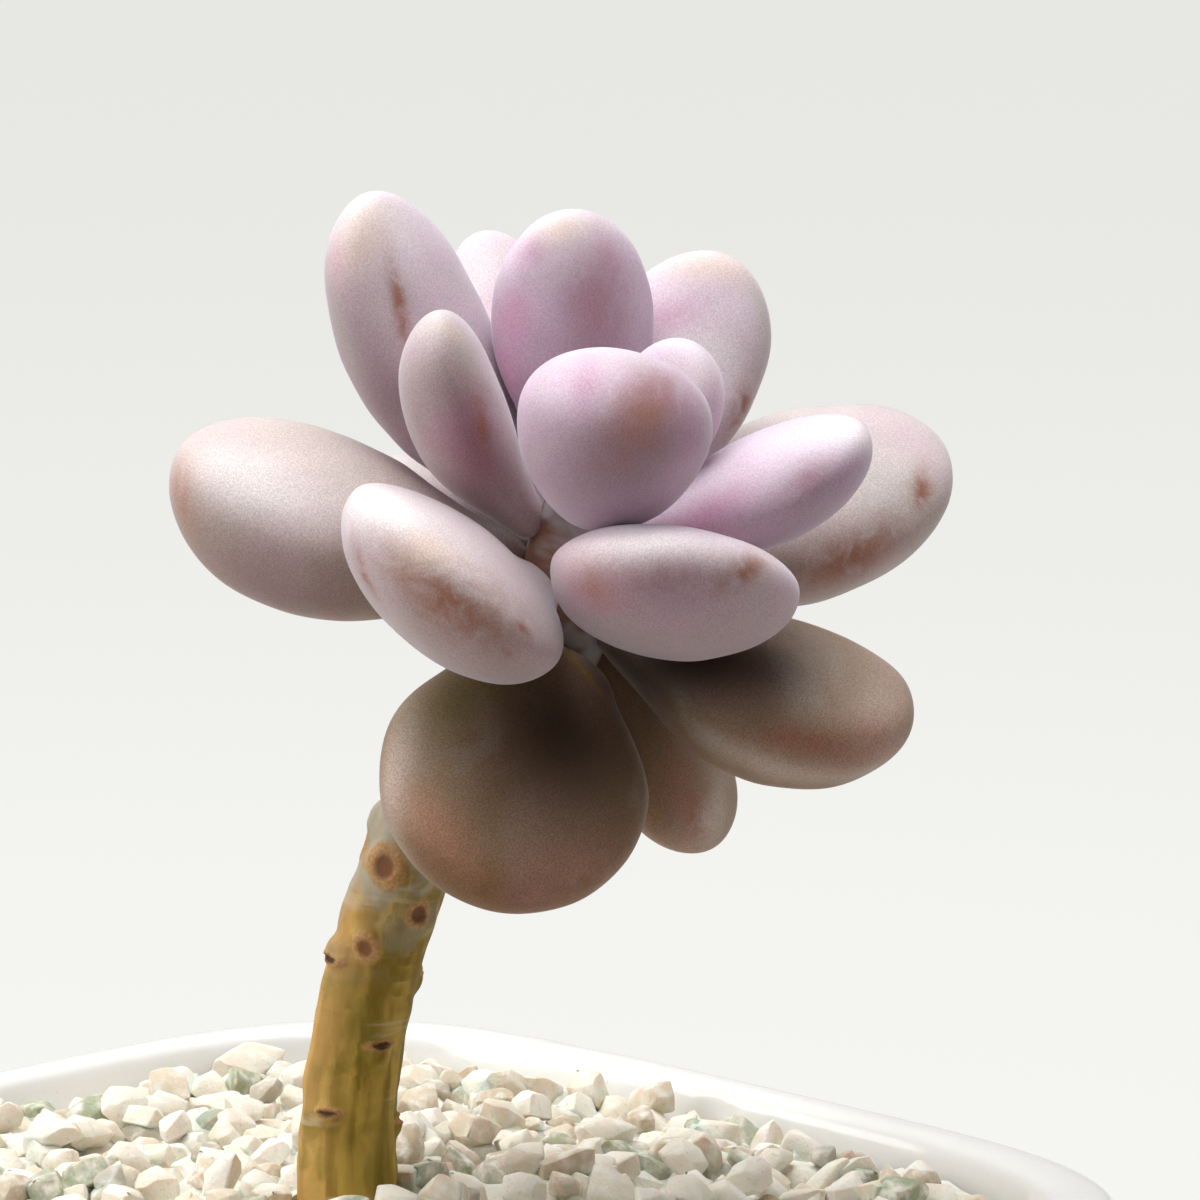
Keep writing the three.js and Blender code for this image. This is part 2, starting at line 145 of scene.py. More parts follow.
# Where the tints lie, each at a pixel of the photograph, with its half length and half width in
# millimetres and the turn of its long side from the horizontal, in degrees. A mark fades faster
# towards its edge the higher the falloff.
MARK_FALLOFF = 0.7
MARKS = [
    {"leaf": "upper_left", "tint": "rub", "pixel": (400, 308), "size": (3.4, 0.6), "turn": 98},
    {"leaf": "upper_left", "tint": "peach", "pixel": (358, 238), "size": (3.4, 1.8), "turn": 65},
    {"leaf": "upper_left", "tint": "flush", "pixel": (338, 262), "size": (1.7, 0.7), "turn": 95},
    {"leaf": "upper_left", "tint": "flush", "pixel": (345, 214), "size": (1.6, 0.6), "turn": 65},
    {"leaf": "upper_left", "tint": "moss", "pixel": (345, 340), "size": (4, 0.9), "turn": 105},
    {"leaf": "upper_left", "tint": "dusk", "pixel": (385, 405), "size": (6.5, 3), "turn": 115},
    {"leaf": "upper_left", "tint": "bloom", "pixel": (372, 212), "size": (5, 3), "turn": 140},
    {"leaf": "upper_back", "tint": "bloom", "pixel": (575, 222), "size": (4, 1.8), "turn": 0},
    {"leaf": "upper_back", "tint": "flush", "pixel": (530, 252), "size": (1.7, 1.1), "turn": 60},
    {"leaf": "upper_back", "tint": "flush", "pixel": (514, 318), "size": (2.8, 1.5), "turn": 80},
    {"leaf": "upper_back", "tint": "flush", "pixel": (505, 372), "size": (2.6, 1.4), "turn": 80},
    {"leaf": "upper_back", "tint": "flush", "pixel": (606, 248), "size": (2.6, 1), "turn": 110},
    {"leaf": "upper_back", "tint": "dusk", "pixel": (600, 335), "size": (4, 3), "turn": 80},
    {"leaf": "upper_back", "tint": "mauve", "pixel": (596, 300), "size": (4.6, 2.6), "turn": 85},
    {"leaf": "upper_back", "tint": "peach", "pixel": (562, 230), "size": (1.7, 1), "turn": 30},
    {"leaf": "centre_front", "tint": "flush", "pixel": (585, 385), "size": (2.6, 1), "turn": 95},
    {"leaf": "centre_front", "tint": "flush", "pixel": (690, 430), "size": (3.5, 1.6), "turn": 70},
    {"leaf": "centre_front", "tint": "flush", "pixel": (655, 418), "size": (3, 2), "turn": 60},
    {"leaf": "centre_front", "tint": "flush", "pixel": (622, 455), "size": (3.2, 1.2), "turn": 25},
    {"leaf": "centre_front", "tint": "dusk", "pixel": (632, 455), "size": (5.5, 3), "turn": 30},
    {"leaf": "centre_front", "tint": "mauve", "pixel": (640, 425), "size": (4.2, 2.6), "turn": 60},
    {"leaf": "centre_front", "tint": "mauve", "pixel": (655, 380), "size": (1.8, 1.2), "turn": 40},
    {"leaf": "centre_front", "tint": "rust", "pixel": (645, 412), "size": (3.2, 1.7), "turn": 58},
    {"leaf": "finger_left", "tint": "moss", "pixel": (468, 362), "size": (3, 1.3), "turn": 115},
    {"leaf": "finger_left", "tint": "peach", "pixel": (455, 334), "size": (1.3, 0.8), "turn": 150},
    {"leaf": "finger_left", "tint": "mauve", "pixel": (478, 435), "size": (4.5, 1.8), "turn": 115},
    {"leaf": "finger_left", "tint": "rub", "pixel": (482, 424), "size": (2.2, 0.8), "turn": 115},
    {"leaf": "finger_left", "tint": "dusk", "pixel": (478, 430), "size": (6, 2.2), "turn": 115},
    {"leaf": "finger_left", "tint": "flush", "pixel": (470, 440), "size": (3.4, 1.6), "turn": 115},
    {"leaf": "centre_right", "tint": "bloom", "pixel": (700, 375), "size": (3.4, 2.4), "turn": 80},
    {"leaf": "centre_right", "tint": "flush", "pixel": (705, 390), "size": (3.4, 1.8), "turn": 80},
    {"leaf": "upper_back_right", "tint": "peach", "pixel": (712, 264), "size": (4, 1.5), "turn": 175},
    {"leaf": "upper_back_right", "tint": "flush", "pixel": (672, 318), "size": (2.8, 1.5), "turn": 25},
    {"leaf": "upper_back_right", "tint": "bloom", "pixel": (700, 370), "size": (4, 4), "turn": 60},
    {"leaf": "upper_back_right", "tint": "moss", "pixel": (766, 318), "size": (3, 0.9), "turn": 95},
    {"leaf": "upper_back_right", "tint": "rub", "pixel": (742, 408), "size": (2.2, 0.9), "turn": 60},
    {"leaf": "finger_right", "tint": "flush", "pixel": (705, 515), "size": (4, 1.3), "turn": 25},
    {"leaf": "finger_right", "tint": "mauve", "pixel": (812, 476), "size": (2, 1.2), "turn": 50},
    {"leaf": "finger_right", "tint": "bloom", "pixel": (850, 432), "size": (2.4, 1.6), "turn": 0},
    {"leaf": "right", "tint": "rub", "pixel": (922, 490), "size": (1.9, 0.9), "turn": 60},
    {"leaf": "right", "tint": "rub", "pixel": (850, 560), "size": (5, 1.8), "turn": 20},
    {"leaf": "front_right", "tint": "bloom", "pixel": (650, 545), "size": (6, 1.4), "turn": 175},
    {"leaf": "front_right", "tint": "flush", "pixel": (590, 588), "size": (3, 2.6), "turn": 0},
    {"leaf": "front_right", "tint": "mauve", "pixel": (665, 582), "size": (3.4, 1.6), "turn": 10},
    {"leaf": "front_right", "tint": "rust", "pixel": (594, 588), "size": (1.9, 1.7), "turn": 0},
    {"leaf": "front_right", "tint": "rub", "pixel": (745, 572), "size": (2.6, 1), "turn": 20},
    {"leaf": "front_left", "tint": "rub", "pixel": (447, 604), "size": (5.4, 2), "turn": 150},
    {"leaf": "front_left", "tint": "rub", "pixel": (362, 570), "size": (2.2, 0.8), "turn": 115},
    {"leaf": "front_left", "tint": "rub", "pixel": (524, 629), "size": (1.1, 0.5), "turn": 165},
    {"leaf": "front_left", "tint": "rub", "pixel": (506, 653), "size": (0.4, 0.35), "turn": 0},
    {"leaf": "front_left", "tint": "bloom", "pixel": (385, 505), "size": (5, 2.4), "turn": 140},
    {"leaf": "front_left", "tint": "peach", "pixel": (430, 548), "size": (2, 1.4), "turn": 150},
    {"leaf": "left", "tint": "bloom", "pixel": (265, 490), "size": (7, 2.8), "turn": 155},
    {"leaf": "left", "tint": "rust", "pixel": (180, 495), "size": (3, 1.5), "turn": 100},
    {"leaf": "left", "tint": "dusk", "pixel": (290, 600), "size": (8, 2.6), "turn": 160},
    {"leaf": "bottom_right", "tint": "shade", "pixel": (700, 660), "size": (11, 4), "turn": 163},
    {"leaf": "bottom_right", "tint": "rub", "pixel": (800, 742), "size": (3.4, 1), "turn": 170},
    {"leaf": "bottom_right", "tint": "rust", "pixel": (868, 745), "size": (4, 2), "turn": 20},
    {"leaf": "bottom_front", "tint": "shade", "pixel": (560, 735), "size": (8.5, 7.5), "turn": 110},
    {"leaf": "bottom_front", "tint": "ash", "pixel": (396, 765), "size": (6, 1.6), "turn": 95},
    {"leaf": "bottom_right", "tint": "ash", "pixel": (882, 722), "size": (4, 2.4), "turn": 70},
    {"leaf": "bottom_right", "tint": "ash", "pixel": (800, 775), "size": (7, 1.5), "turn": 170},
    {"leaf": "bottom_back_right", "tint": "ash", "pixel": (708, 828), "size": (3.6, 2.4), "turn": 30},
    {"leaf": "bottom_front", "tint": "olive", "pixel": (458, 698), "size": (4.5, 3), "turn": 60},
    {"leaf": "bottom_front", "tint": "ochre", "pixel": (579, 664), "size": (2.6, 0.35), "turn": 117},
    {"leaf": "bottom_front", "tint": "rust", "pixel": (440, 832), "size": (4.5, 1.8), "turn": 130},
    {"leaf": "bottom_front", "tint": "rust", "pixel": (570, 870), "size": (6, 2.6), "turn": 20},
    {"leaf": "bottom_back_right", "tint": "rub", "pixel": (690, 800), "size": (4, 2), "turn": 120},
]

# Scars on the bark: height above the lip and radius in millimetres, direction round the stem in
# degrees from the side that faces the camera, and whether it has closed to a slit.
SCARS = [
    {"height": 30.6, "facing": -25, "radius": 2.2, "slit": False},
    {"height": 23.8, "facing": -16, "radius": 1.6, "slit": False},
    {"height": 21.4, "facing": -68, "radius": 2.1, "slit": True},
    {"height": 26.2, "facing": 35, "radius": 1.5, "slit": False},
    {"height": 13.4, "facing": 30, "radius": 1.6, "slit": True},
    {"height": 7, "facing": -24, "radius": 1.6, "slit": True},
    {"height": 34, "facing": 105, "radius": 2.2, "slit": False},
    {"height": 28.5, "facing": 170, "radius": 2.2, "slit": False},
    {"height": 33, "facing": -110, "radius": 2.1, "slit": False},
    {"height": 19.5, "facing": 110, "radius": 2, "slit": True},
    {"height": 16, "facing": -130, "radius": 1.9, "slit": True},
    {"height": 11, "facing": 160, "radius": 1.7, "slit": True},
    {"height": 5.5, "facing": 95, "radius": 1.6, "slit": True},
]

# How far the parts of a scar stand out of the bark.
SCAR_SWELLS = {"rim": 0.2 * MM, "heart": -0.15 * MM, "slit": -0.2 * MM}

# Heights above the lip where wax begins on the bark and where the stem thickens into the crown
# that carries the leaves.
LIP_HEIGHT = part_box("pot")[1].z
WAX_START = 19 * MM
CROWN_START = 43 * MM
CROWN_RISE = 6 * MM
CROWN_SWELL = 1.1 * MM

# The stem is measured at this many heights, by rays that start this far from its middle.
STEM_STATIONS = 60
STEM_REACH = 15 * MM
STEM_END_MARGINS = (1 * MM, 1.5 * MM)
BARK_VOXEL = 0.25 * MM

# The gravel: a full layer of stones and a loose one over it, each with its share of stones.
STONE_LAYERS = (1.0, 0.45)
STONE_SPACING = 4.1 * MM
STONE_PATTERNS = 7
CUTS_PER_STONE = 11

# The bed is a rounded square, with a bare margin inside the pot and a clear ring round the stem.
BED_MARGIN = 2.3 * MM
BED_SQUARENESS = 4.4
STEM_FOOT = Vector((-1.06, 3.18, 0)) * MM
STEM_CLEARANCE = 5 * MM

# Soft light of the room: the side it comes from as (right, up, towards the camera), how narrow
# the bright area is, and its strength in the middle.
ROOM_GLOWS = [
    {"side": (0, 1, 0), "narrowness": 2, "strength": 0.4},
    {"side": (0, -1, 0), "narrowness": 2, "strength": 0.8},
    {"side": (1, 0, 0), "narrowness": 3, "strength": 0.85},
    {"side": (-1, 0, 0), "narrowness": 3, "strength": 0.8},
    {"side": (0, 0, -1), "narrowness": 3, "strength": 0.65},
    {"side": (0, 0, 1), "narrowness": 3, "strength": 0.05},
]

# Colour of the room's light, and of the even backdrop that the camera sees.
ROOM_LIGHT = (1.0, 0.985, 0.965)
BACKDROP = (0.8, 0.8, 0.77)

# Lamps with soft square fronts, placed from the rosette in the same way, in metres and watts.
LAMPS = [
    {"name": "overhead", "place": (-0.1, 0.75, 0), "size": 0.7, "power": 5.6},
    {"name": "overhead_in_front", "place": (-0.1, 0.7, 0.35), "size": 0.6, "power": 2.5},
    {"name": "left_window", "place": (-0.75, 0.3, 0.25), "size": 0.6, "power": 3},
]


# Shader values


class Value:
    """A shader socket whose arithmetic adds Math nodes to its finish."""

    def __init__(self, finish, socket):
        self.finish = finish
        self.socket = socket

    def maths(self, operation, first, second=0.0):
        return self.finish.node("Math", {"operation": operation}, {0: first, 1: second})

    def __add__(self, other):
        return self.maths("ADD", self, other)

    def __radd__(self, other):
        return self.maths("ADD", other, self)

    def __sub__(self, other):
        return self.maths("SUBTRACT", self, other)

    def __rsub__(self, other):
        return self.maths("SUBTRACT", other, self)

    def __mul__(self, other):
        return self.maths("MULTIPLY", self, other)

    def between(self, low, high):
        """0 below low, 1 above high, and smooth between them."""
        return self.finish.node(
            "MapRange",
            {"interpolation_type": "SMOOTHSTEP"},
            {"Value": self, "From Min": low, "From Max": high},
        )

    def mixed(self, first, second):
        """Colour that goes from first to second as this value goes from 0 to 1."""
        settings = {"data_type": "RGBA"}
        return self.finish.node("Mix", settings, {0: self, 6: first, 7: second}, output=2)


class Finish:
    """A material, built as a tree of nodes round one Principled shader."""

    def __init__(self, name, **constants):
        self.material = bpy.data.materials.new(name)
        self.material.use_nodes = True
        self.tree = self.material.node_tree
        self.shader = self.tree.nodes["Principled BSDF"]
        self.surface(**constants)
        self.place = self.node("TexCoord", output="Object")

    def node(self, kind, settings=None, inputs=None, output=0):
        made = self.tree.nodes.new("ShaderNode" + kind)
        for name, value in (settings or {}).items():
            if name == "stops":
                self.set_stops(made.color_ramp, value)
            else:
                setattr(made, name, value)
        for name, value in (inputs or {}).items():
            self.feed(made.inputs[name], value)
        return Value(self, made.outputs[output])

    def feed(self, socket, value):
        if isinstance(value, Value):
            self.tree.links.new(value.socket, socket)
        elif socket.type == "RGBA" and len(value) == 3:
            socket.default_value = (*value, 1)
        else:
            socket.default_value = value

    def set_stops(self, ramp, stops):
        while len(ramp.elements) < len(stops):
            ramp.elements.new(1)
        for element, (position, colour) in zip(ramp.elements, stops):
            element.position = position
            element.color = (*colour, 1)

    def surface(self, **inputs):
        """Feeds the shader's sockets, named with _ for a space."""
        for name, value in inputs.items():
            self.feed(self.shader.inputs[name.replace("_", " ")], value)

    def noise(self, size, detail=2.0, distortion=0.0, place=None):
        """Noise whose lumps are about size metres across."""
        inputs = {
            "Vector": place or self.place,
            "Scale": 1 / size,
            "Detail": detail,
            "Distortion": distortion,
        }
        return self.node("TexNoise", None, inputs)

    def painted(self, name):
        """A value painted on the piece's vertices."""
        return self.node("Attribute", {"attribute_name": name}, output="Fac")

    def stretched(self, place, scale):
        return self.node("Mapping", None, {"Vector": place, "Scale": scale})

    def moved(self, step):
        """The place of each point of the surface, moved by a step."""
        return self.node("Mapping", None, {"Vector": self.place, "Location": step})

    def ramp(self, value, stops):
        return self.node("ValToRGB", {"stops": stops}, {"Fac": value})

    def shaded(self, colour, share, low, high):
        """Colour times a grey that goes from low to high as share goes from 0 to 1."""
        grey = share * (high - low) + low
        settings = {"data_type": "RGBA", "blend_type": "MULTIPLY"}
        return self.node("Mix", settings, {0: 1.0, 6: colour, 7: grey}, output=2)

    def bumps(self, *layers):
        """Relief from (height, depth in metres) pairs."""
        normal = None
        for height, depth in layers:
            inputs = {"Height": height, "Distance": depth, "Strength": 1.0}
            if normal:
                inputs["Normal"] = normal
            normal = self.node("Bump", None, inputs)
        self.surface(Normal=normal)


# Finishes


def leaf_finish(name, sheen):
    """Fleshy skin under a waxy powdery coat, tinted here and there and finely grained. Faces turned up
    are painted lighter and faces turned down darker, partly for the coat and partly as painted top
    light and shade; some tints are painted highlights, rim light, backlight, shade and shadow.
    """
    skin = Finish(
        name,
        Subsurface_Weight=0.12,
        Subsurface_Radius=(1.0, 0.5, 0.4),
        Subsurface_Scale=2 * MM,
        Sheen_Weight=sheen,
        Sheen_Roughness=0.4,
        Sheen_Tint=(0.88, 0.92, 1.0, 1),
        Specular_IOR_Level=0.3,
    )
    age = skin.painted("age")
    clouds = skin.noise(11 * MM, 3, 0.4)
    haze = skin.noise(9 * MM, 2, 0.5, skin.moved((0.03, 0.05, 0.02)))
    mottle = skin.noise(2.6 * MM, 6, 1.2)
    grain = skin.noise(0.15 * MM, 2)
    # Faces turned up take the powdered tones and faces turned down the bare ones: partly thicker
    # powder, partly painted top light and painted shade.
    powder_and_top_light = (skin.painted("upward") + (clouds - 0.5) * 0.6).between(-0.15, 0.85)
    colour = powder_and_top_light.mixed(skin.ramp(age, BARE_AND_SHADED_TONES), skin.ramp(age, POWDERED_AND_TOP_LIT_TONES))
    colour = (clouds.between(0.48, 0.7) * (0.35 - age * 0.25)).mixed(colour, (0.6, 0.35, 0.49))
    colour = (haze.between(0.5, 0.7) * 0.25).mixed(colour, (0.52, 0.51, 0.46))
    specks = mottle.between(0.3, 0.62) * 0.8 + 0.35
    # The marks lay their tints, painted highlights, rim light, backlight, shade and shadow among them.
    for mark, (tint, cover, breakup) in TINTS.items():
        share = skin.painted(mark) * (specks * breakup + (1 - breakup))
        colour = (share * cover).mixed(colour, tint)
    colour = skin.shaded(colour, grain.between(0.3, 0.7), 0.88, 1.1 + age * 0.25)
    skin.surface(Base_Color=colour, Roughness=0.5 + mottle * 0.12)
    skin.bumps((mottle, 0.05 * MM), (grain, 0.02 * MM))
    return skin.material


def bark_finish():
    """Smooth olive bark with a tan skin, pale waxy films, ringed scars and dark slits."""
    bark = Finish("olive_bark", Specular_IOR_Level=0.3)
    straight = bark.node("Attribute", {"attribute_name": "straight"}, output="Vector")
    streaks = bark.noise(2.2 * MM, 3, 0.3, bark.stretched(straight, (1, 1, 0.14)))
    rings = bark.noise(2 * MM, 3, 0.4, bark.stretched(straight, (0.15, 0.15, 1)))
    patches = bark.noise(5 * MM, 3, 0.5)
    grit = bark.noise(0.3 * MM, 3)
    colour = streaks.between(0.38, 0.6).mixed((0.24, 0.15, 0.008), (0.52, 0.34, 0.06))
    colour = (bark.painted("tan") * 0.6).mixed(colour, (0.62, 0.35, 0.12))
    colour = (patches.between(0.5, 0.64) * 0.5).mixed(colour, (0.22, 0.17, 0.015))
    colour = (rings.between(0.6, 0.7) * 0.45).mixed(colour, (0.6, 0.48, 0.34))
    wax = bark.painted("wax") * patches.between(0.4, 0.64)
    colour = (wax * 0.75).mixed(colour, (0.46, 0.43, 0.36))
    tissue = patches.between(0.42, 0.58).mixed((0.46, 0.42, 0.42), (0.26, 0.13, 0.09))
    colour = bark.painted("tissue").mixed(colour, tissue)
    corky = grit.between(0.35, 0.65).mixed((0.42, 0.19, 0.07), (0.56, 0.32, 0.13))
    colour = (bark.painted("rim") * 0.8).mixed(colour, corky)
    colour = (bark.painted("heart") * 0.85).mixed(colour, (0.22, 0.075, 0.035))
    colour = (bark.painted("slit") * 0.95).mixed(colour, (0.07, 0.028, 0.01))
    bark.surface(Base_Color=colour, Roughness=0.6 + grit * 0.2)
    bark.bumps((streaks, 0.12 * MM), (rings, 0.12 * MM), (grit, 0.04 * MM))
    return bark.material


def stone_finish(name):
    """Crushed stone: mostly white and cream, with a few grey, tan and greenish ones."""
    stone = Finish(name, Specular_IOR_Level=0.35, Subsurface_Weight=0.3, Subsurface_Scale=2 * MM)
    tones = [
        (0.0, (0.84, 0.81, 0.73)),
        (0.45, (0.8, 0.75, 0.63)),
        (0.7, (0.72, 0.64, 0.5)),
        (0.82, (0.5, 0.42, 0.3)),
        (0.9, (0.46, 0.46, 0.4)),
        (0.96, (0.36, 0.4, 0.27)),
    ]
    colour = stone.ramp(stone.painted("tone"), tones)
    dust = stone.noise(1.6 * MM, 5)
    grit = stone.noise(0.35 * MM, 4)
    colour = dust.between(0.4, 0.75).mixed(colour, (0.86, 0.84, 0.76))
    colour = (grit.between(0.6, 0.75) * 0.4).mixed(colour, (0.35, 0.31, 0.25))
    stone.surface(Base_Color=colour, Roughness=0.75 + dust * 0.2)
    stone.bumps((dust, 0.25 * MM), (grit, 0.08 * MM))
    return stone.material


def glaze_finish():
    """Glossy white glaze, slightly uneven, that stops short of the bare foot ring."""
    glaze = Finish("white_glaze", Specular_IOR_Level=0.5, Coat_Roughness=0.05)
    pooling = glaze.noise(22 * MM, 2)
    specks = glaze.noise(0.9 * MM, 2)
    colour = pooling.between(0.3, 0.7).mixed((0.86, 0.855, 0.83), (0.83, 0.83, 0.81))
    colour = (specks.between(0.74, 0.78) * 0.35).mixed(colour, (0.5, 0.42, 0.3))
    height = glaze.node("SeparateXYZ", None, {0: glaze.place}, output="Z")
    edge = glaze.noise(5 * MM, 3) * (0.8 * MM)
    glazed = (height + edge).between(1.1 * MM, 1.6 * MM)
    clay = specks.between(0.3, 0.7).mixed((0.58, 0.47, 0.35), (0.66, 0.56, 0.43))
    colour = glazed.mixed(clay, colour)
    glaze.surface(
        Base_Color=colour,
        Roughness=0.8 - glazed * 0.7,
        Coat_Weight=glazed * 0.6,
    )
    glaze.bumps((pooling, 0.5 * MM), (specks, 0.015 * MM))
    return glaze.material


def soil_finish():
    """Dark damp potting mix."""
    soil = Finish("potting_soil", Specular_IOR_Level=0.2)
    crumbs = soil.noise(2.5 * MM, 6)
    colour = crumbs.between(0.3, 0.7).mixed((0.03, 0.02, 0.014), (0.09, 0.06, 0.04))
    soil.surface(Base_Color=colour, Roughness=0.85 + crumbs * 0.1)
    soil.bumps((crumbs, 1.2 * MM))
    return soil.material


# Modelling helpers


def only(piece):
    """Selects one piece and makes it active."""
    bpy.ops.object.select_all(action="DESELECT")
    piece.select_set(True)
    bpy.context.view_layer.objects.active = piece


def smooth(piece, angle=180):
    only(piece)
    bpy.ops.object.shade_smooth_by_angle(angle=math.radians(angle))


def modify(piece, kind, **settings):
    """Adds a modifier and applies it."""
    modifier = piece.modifiers.new(kind.lower(), kind)
    for name, value in settings.items():
        setattr(modifier, name, value)
    only(piece)
    bpy.ops.object.modifier_apply(modifier=modifier.name)


def copy_of(node, name):
    """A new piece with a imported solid's mesh, its loose triangles joined up into four-sided faces."""
    piece = bpy.data.objects.new(name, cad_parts[node].data.copy())
    bpy.context.scene.collection.objects.link(piece)
    piece.data.materials.clear()
    only(piece)
    bpy.ops.object.mode_set(mode="EDIT")
    bpy.ops.mesh.select_all(action="SELECT")
    bpy.ops.mesh.remove_doubles(threshold=0.001 * MM)
    bpy.ops.mesh.tris_convert_to_quads(
        face_threshold=math.radians(60), shape_threshold=math.radians(60)
    )
    bpy.ops.object.mode_set(mode="OBJECT")
    return piece


def corners_of(piece):
    corners = np.empty(len(piece.data.vertices) * 3)
    piece.data.vertices.foreach_get("co", corners)
    return corners.reshape(-1, 3)


def paint(piece, name, values):
    """Keeps a value on each vertex, for the finish to read."""
    layer = piece.data.attributes.new(name, "FLOAT", "POINT")
    layer.data.foreach_set("value", np.asarray(values, dtype=float))


def hand_over(piece, slot, *nodes):
    """Seats a finished piece on the model in the place of the nodes that it stands for."""
    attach(piece, "root")
    if nodes:
        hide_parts(*nodes)


def unevenness(name, size):
    texture = bpy.data.textures.new(name, "CLOUDS")
    texture.noise_scale = size
    texture.noise_depth = 1
    return texture


# Leaves


def photo_ray(pixel):
    """Direction from the camera through a pixel of the photograph."""
    across = (pixel[0] / PHOTO_PIXELS - 0.5) * VIEW_WIDTH
    up = (0.5 - pixel[1] / PHOTO_PIXELS) * VIEW_WIDTH
    return (VIEW_RIGHT * across + VIEW_UP * up - TO_CAMERA * VIEW_DISTANCE).normalized()


def mark_strength(leaf, corners, mark):
    """Share of a mark at each vertex: 1 in its middle, 0 outside it and on the far face."""
    hit, centre, normal, _ = leaf.ray_cast(CAMERA_PLACE, photo_ray(mark["pixel"]))
    if not hit:
        return np.zeros(len(corners))
    turn = math.radians(mark["turn"])
    long_way = VIEW_RIGHT * math.cos(turn) + VIEW_UP * math.sin(turn)
    long_way = (long_way - normal * long_way.dot(normal)).normalized()
    wide_way = normal.cross(long_way)
    away = corners - np.array(centre)
    length, width = mark["size"][0] * MM, mark["size"][1] * MM
    reach = (away @ np.array(long_way) / length) ** 2
    reach += (away @ np.array(wide_way) / width) ** 2
    reach += (away @ np.array(normal) / length) ** 2
    return np.exp(-MARK_FALLOFF * reach)


def round_off(leaf):
    """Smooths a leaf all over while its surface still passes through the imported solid's corners."""
    wanted = corners_of(leaf)
    cage = wanted.copy()
    for _ in range(ROUNDING_PASSES):
        leaf.data.vertices.foreach_set("co", cage.ravel())
        trial = leaf.copy()
        trial.data = leaf.data.copy()
        bpy.context.scene.collection.objects.link(trial)
        modify(trial, "SUBSURF", levels=LEAF_LEVELS, render_levels=LEAF_LEVELS)
        cage += wanted - corners_of(trial)[: len(wanted)]
        bpy.data.objects.remove(trial)
    leaf.data.vertices.foreach_set("co", cage.ravel())
    modify(leaf, "SUBSURF", levels=LEAF_LEVELS, render_levels=LEAF_LEVELS)


def grow_leaf(name, age, stem, texture, skins):
    """A packed leaf rounded off, tinted with its marks and skinned for its age."""
    node = "leaf_" + name
    leaf = copy_of(node, name + "_leaf")
    rough = [vertex.co.copy() for vertex in leaf.data.vertices]
    base = min(rough, key=lambda place: (stem.closest_point_on_mesh(place)[1] - place).length)
    tip = max(rough, key=lambda place: (place - base).length)
    length = (tip - base).length
    round_off(leaf)
    modify(leaf, "DISPLACE", texture=texture, texture_coords="GLOBAL", mid_level=0.5,
           strength=LEAF_UNEVENNESS * length)
    smooth(leaf)
    corners = corners_of(leaf)
    facing = np.empty(len(leaf.data.vertices) * 3)
    leaf.data.vertices.foreach_get("normal", facing)
    # How far each vertex faces up, for the skin to paint faces turned up lighter as painted top light
    # and faces turned down darker as painted shade.
    paint(leaf, "upward", facing[2::3])
    paint(leaf, "age", np.full(len(corners), age))
    bpy.context.view_layer.update()
    for tint in TINTS:
        layers = [
            mark_strength(leaf, corners, mark)
            for mark in MARKS
            if mark["leaf"] == name and mark["tint"] == tint
        ]
        paint(leaf, tint, np.max([np.zeros(len(corners)), *layers], axis=0))
    slot = "old_leaf" if age >= OLD_AGE else "young_leaf"
    leaf.data.materials.append(skins[slot])
    hand_over(leaf, slot, node)


# Stem


def stem_middle(stem, height, guess):
    """Middle of the stem at a height, half way between where rays from opposite sides meet it."""
    middle = Vector((guess.x, guess.y, height))
    for axis in (Vector((1, 0, 0)), Vector((0, 1, 0))):
        _, near, _, _ = stem.ray_cast(middle - axis * STEM_REACH, axis)
        _, far, _, _ = stem.ray_cast(middle + axis * STEM_REACH, -axis)
        middle = (near + far) / 2
    return middle


def stem_line(stem):
    """Middles of the stem from its foot to its top."""
    low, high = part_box("stem")
    start = low.z + STEM_END_MARGINS[0]
    end = high.z - STEM_END_MARGINS[1]
    foot = [vertex.co for vertex in stem.data.vertices if vertex.co.z < start]
    guess = sum(foot, Vector()) / len(foot)
    points = []
    for height in np.linspace(start, end, STEM_STATIONS):
        guess = stem_middle(stem, float(height), guess)
        points.append(guess)
    return points


def scar_place(stem, line, scar):
    """Where a scar sits on the bark, and which way it faces."""
    height = LIP_HEIGHT + scar["height"] * MM
    middle = min(line, key=lambda point: abs(point.z - height))
    facing = math.radians(scar["facing"]) + VIEW_AZIMUTH
    out = Vector((math.sin(facing), -math.cos(facing), 0))
    _, place, _, _ = stem.ray_cast(middle + out * STEM_REACH, -out)
    return place, out


def band(values, low, high, blur):
    """1 between low and high, falling to 0 over blur on both sides."""
    return np.clip(np.minimum(values - low, high - values) / blur + 1, 0, 1)


def rising(corners, start, rise):
    """For each vertex, 0 up to a height above the lip and 1 from rise over that height."""
    return np.clip((corners[:, 2] - (LIP_HEIGHT + start)) / rise, 0, 1)


def swell(piece, name, shares, strength):
    """Pushes the surface out by strength where shares are 1."""
    group = piece.vertex_groups.new(name=name)
    for corner in np.flatnonzero(shares > 0.01):
        group.add([int(corner)], float(shares[corner]), "REPLACE")
    modify(piece, "DISPLACE", vertex_group=name, mid_level=0, strength=strength)
    piece.vertex_groups.remove(piece.vertex_groups[name])


